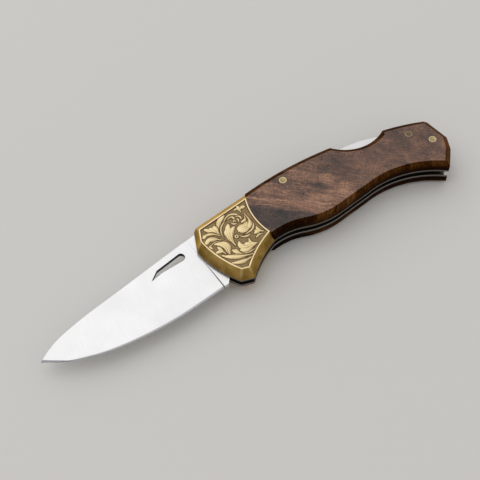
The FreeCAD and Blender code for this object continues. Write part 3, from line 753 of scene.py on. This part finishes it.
# Clouds of the figure: place on the scale and reach in millimetres, and how much paler.
CLOUDS = (
    ((49, 15), 9, -0.20),
    ((39, 8.5), 4.5, -0.16),
    ((42.5, 10), 4, 0.26),
    ((43, 5.5), 6, 0.14),
    ((35, 2), 9, 0.30),
    ((47.5, 1.5), 6, 0.26),
    ((19, 15), 7, 0.14),
    ((26, 7.5), 6, 0.10),
    ((61, 3), 7, 0.12),
    ((53, 9), 6, -0.08),
    ((77, 16.5), 7, -0.14),
    ((81, 9), 15, -0.07),
    ((94, 1), 7, 0.14),
)
OIL_SPREAD = (-0.08, 0.1)


def walnut(name, shades, roughness, gloss):
    """Walnut with a dark heart, streaks that slope to the belly, clouds and fine pores, and painted
    shade that darkens the bevels towards their foot. The shades go from the darkest to the palest."""
    finish, tree, shader = new_finish(name)

    def shift(operation, *places):
        """Moves places by adding others to them, or taking others away."""
        return add(tree, "VectorMath", "Vector", dict(enumerate(places)), operation=operation)

    def marks(along, across, detail, base):
        """Noise with so many marks in a millimetre along the grain and across it."""
        stretched = add(tree, "Mapping", "Vector", {"Vector": base, "Scale": (along, across, 1)})
        look = {"Scale": 1.0, "Detail": detail, "Roughness": MARK_ROUGHNESS}
        return add(tree, "TexNoise", "Fac", {"Vector": stretched, **look})

    def eased(value, span, result):
        """Grades a value with soft ends, as one colour of the wood runs into the next."""
        return graded(tree, value, span, result, curve="SMOOTHSTEP")

    place = add(tree, "TexCoord", "Object")
    height = from_middle(tree, place)
    lean = plus(tree, LAYER_LEAN * HALF_HANDLE, height, -LAYER_LEAN)
    layered = shift("ADD", place, add(tree, "CombineXYZ", "Vector", {"Y": lean}))
    flat = add(tree, "Mapping", "Vector", {"Vector": layered, "Scale": (1 / MM, 1 / MM, 0)})
    drift = add(tree, "TexNoise", "Color", {"Vector": flat, "Scale": WANDER_PITCH, "Detail": 3.0})
    bent = shift("MULTIPLY_ADD", drift, (WANDER, WANDER, 0), flat)
    settled = shift("SUBTRACT", bent, (WANDER / 2, WANDER / 2, 0))
    grain = add(tree, "Mapping", "Vector", {"Vector": settled, "Rotation": (0, 0, GRAIN_TURN)})
    along_knife = add(tree, "SeparateXYZ", "X", {"Vector": settled})
    across_grain = add(tree, "SeparateXYZ", "Y", {"Vector": grain})

    broad = marks(*BROAD_STREAKS, grain)
    fine = marks(*FINE_STREAKS, grain)
    hatching = marks(*HATCHING, grain)
    pores = marks(*PORES, grain)
    streaks = -MARK_MIDDLE * (BROAD_SHARE + FINE_SHARE + HATCHING_SHARE)
    streaks = plus(tree, streaks, broad, BROAD_SHARE)
    streaks = plus(tree, streaks, fine, FINE_SHARE)
    streaks = plus(tree, streaks, hatching, HATCHING_SHARE)
    streaks = plus(tree, streaks, eased(fine, PALE_LINE_SPAN, (0, 1)), PALE_LINE_SHARE)
    front = eased(along_knife, STREAKED_END, (1, REAR_STREAKS))
    sapwood = eased(across_grain, HEART_EDGE, (HEART_STREAKS, 1))
    lively = add(tree, "Math", "Value", {0: front, 1: sapwood}, operation="MULTIPLY")
    calmed = add(tree, "Math", "Value", {0: streaks, 1: lively}, operation="MULTIPLY")

    tone = BASE_TONE - MARK_MIDDLE * SPECKLE_SHARE - MARK_MIDDLE * MOTTLE_SHARE
    tone = plus(tree, tone, marks(*SPECKLES, flat), SPECKLE_SHARE)
    tone = plus(tree, tone, calmed, STREAK_SHARE)
    tone = plus(tree, tone, marks(*MOTTLE, grain), MOTTLE_SHARE)
    tone = plus(tree, tone, eased(across_grain, HEART_EDGE, (1, 0)), HEART_SHARE)
    for spot, reach, paler in CLOUDS:
        ends = {0: settled, 1: (*spot, 0)}
        off = add(tree, "VectorMath", "Value", ends, operation="DISTANCE")
        tone = plus(tree, tone, eased(off, (0, reach), (1, 0)), paler)
    tone = plus(tree, tone, eased(pores, PORE_SPAN, (0, 1)), PORE_SHARE)
    # Painted shade towards the foot of the bevels.
    tone = plus(tree, tone, eased(height, (SCALE_FOOT, HALF_HANDLE), BEVEL_FOOT_SHADE))

    spread = [roughness + change for change in OIL_SPREAD]
    dents = {"Height": pores, "Strength": 0.2, "Distance": 0.05 * MM}
    connect(tree, shader, {
        "Base Color": tinted(tree, tone, np.linspace(0, 1, len(shades)), shades),
        "Roughness": graded(tree, fine, result=spread),
        "Normal": add(tree, "Bump", "Normal", dents, invert=True),
        "Specular IOR Level": gloss,
    })
    return finish


walnut_face = walnut(
    "walnut_face",
    (
        (0.040, 0.037, 0.038), (0.080, 0.063, 0.058), (0.172, 0.103, 0.080),
        (0.320, 0.175, 0.118), (0.500, 0.290, 0.190),
    ),
    roughness=0.45, gloss=0.22,
)
# Painted shade: the bevels' copy of the walnut is far darker and redder than the flats'.
walnut_bevel_shade = walnut(
    "walnut_bevel_shade",
    (
        (0.007, 0.0018, 0.0003), (0.016, 0.0048, 0.0008), (0.048, 0.0155, 0.002),
        (0.110, 0.042, 0.010), (0.200, 0.095, 0.040),
    ),
    roughness=0.5, gloss=0.01,
)
# A paler copy of the painted shade for the butt's bevel and wall.
walnut_butt_shade = walnut(
    "walnut_butt_shade",
    (
        (0.024, 0.009, 0.002), (0.048, 0.017, 0.003), (0.095, 0.034, 0.006),
        (0.150, 0.058, 0.012), (0.200, 0.085, 0.022),
    ),
    roughness=0.5, gloss=0.03,
)
scale_finishes = [walnut_face, walnut_bevel_shade, walnut_butt_shade]


def on_the_back(edge):
    """Does this edge part the flat of a scale from the bevel of its spine or butt?"""
    bevel, flat = sorted((face.normal for face in edge.link_faces), key=lambda normal: abs(normal.z))
    faces_back = bevel.y + bevel.x > BACK_LEAN
    return abs(flat.z) > FACE_TILT and abs(bevel.z) > BACK_BEVEL_TILT and faces_back


for side in ("right", "left"):
    node = f"scale_{side}"
    scale = bench_copy(node)
    break_edges(scale, BACK_EDGE_ROUND, steps=5, chosen=on_the_back, clamp=False)
    break_edges(scale, SCALE_EDGE_ROUND, steps=3)
    scale.normal_update()
    for face in scale.faces:
        at_butt = face.calc_center_median().x > BUTT_FROM and face.normal.x > BUTT_TILT
        if abs(face.normal.z) <= FACE_TILT:
            face.material_index = scale_finishes.index(walnut_butt_shade if at_butt else walnut_bevel_shade)
    put(scale, f"{node}_polished", "handle", scale_finishes, [node])

# Pins: brass rod driven through the handle and peened over, so each end has a worn bright
# ring round a slightly dished and darker middle.
PIN_DISH = 0.12 * MM
PIN_RING = 0.66
PIN_SIDES = 48
# Outline of an end: how far out as a share of the radius, and how deep as a share of the dish.
PIN_OUTLINE = ((0.0, 1.0), (0.45, 1.0), (0.72, 0.25), (0.84, 0.0), (0.94, 0.2), (1.0, 1.0))
pin_brass = handled_brass("pin_brass", (0.40, 0.30, 0.13), (0.52, 0.41, 0.20), roughness=0.42)
pin_ring = handled_brass("pin_ring", (0.56, 0.46, 0.27), (0.70, 0.59, 0.38), roughness=0.34)
dull_brass = handled_brass("dull_brass", (0.17, 0.125, 0.075), (0.27, 0.20, 0.125), roughness=0.5)
dull_ring = handled_brass("dull_ring", (0.32, 0.255, 0.17), (0.44, 0.36, 0.25), roughness=0.42)
for node, middle_finish, ring_finish in (
    ("lock_bar_pin", pin_brass, pin_ring),
    ("rear_pin_upper", dull_brass, dull_ring),
    ("rear_pin_lower", pin_brass, pin_ring),
):
    low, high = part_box(node)
    radius = (high.x - low.x) / 2
    half_length = (high.z - low.z) / 2
    outline = [(share * radius, half_length - depth * PIN_DISH) for share, depth in PIN_OUTLINE]
    outline.append((radius, 0.0))
    pin = bmesh.new()
    verts = [pin.verts.new((reach, 0, height)) for reach, height in outline]
    for first, second in zip(verts, verts[1:]):
        pin.edges.new((first, second))
    bmesh.ops.spin(
        pin, geom=everything(pin), cent=(0, 0, 0), axis=(0, 0, 1),
        angle=math.tau, steps=PIN_SIDES, use_merge=True,
    )
    bmesh.ops.remove_doubles(pin, verts=pin.verts, dist=SAME_SPOT)
    bmesh.ops.mirror(pin, geom=everything(pin), axis="Z", merge_dist=SAME_SPOT)
    bmesh.ops.recalc_face_normals(pin, faces=pin.faces)
    pin_finishes = [middle_finish, ring_finish]
    for face in pin.faces:
        on_ring = face.calc_center_median().xy.length > PIN_RING * radius
        face.material_index = pin_finishes.index(ring_finish if on_ring else middle_finish)
    bmesh.ops.translate(pin, verts=pin.verts, vec=(low + high) / 2)
    put(pin, f"{node}_peened", "handle", pin_finishes, [node])

# Pivot, rivets and washers: turned brass and bronze inside the handle. Of these only the
# washers' rims show, in the slot beside the blade.
washer_bronze = handled_brass("washer_bronze", (0.40, 0.24, 0.11), (0.55, 0.35, 0.18), roughness=0.4)
for node, finish in (
    ("pivot_pin", pin_brass),
    ("bolster_rivets_right", pin_brass),
    ("bolster_rivets_left", pin_brass),
    ("pivot_washer_right", washer_bronze),
    ("pivot_washer_left", washer_bronze),
    ("lock_bar_washer_right", washer_bronze),
    ("lock_bar_washer_left", washer_bronze),
):
    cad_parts[node].material_slots[0].material = finish
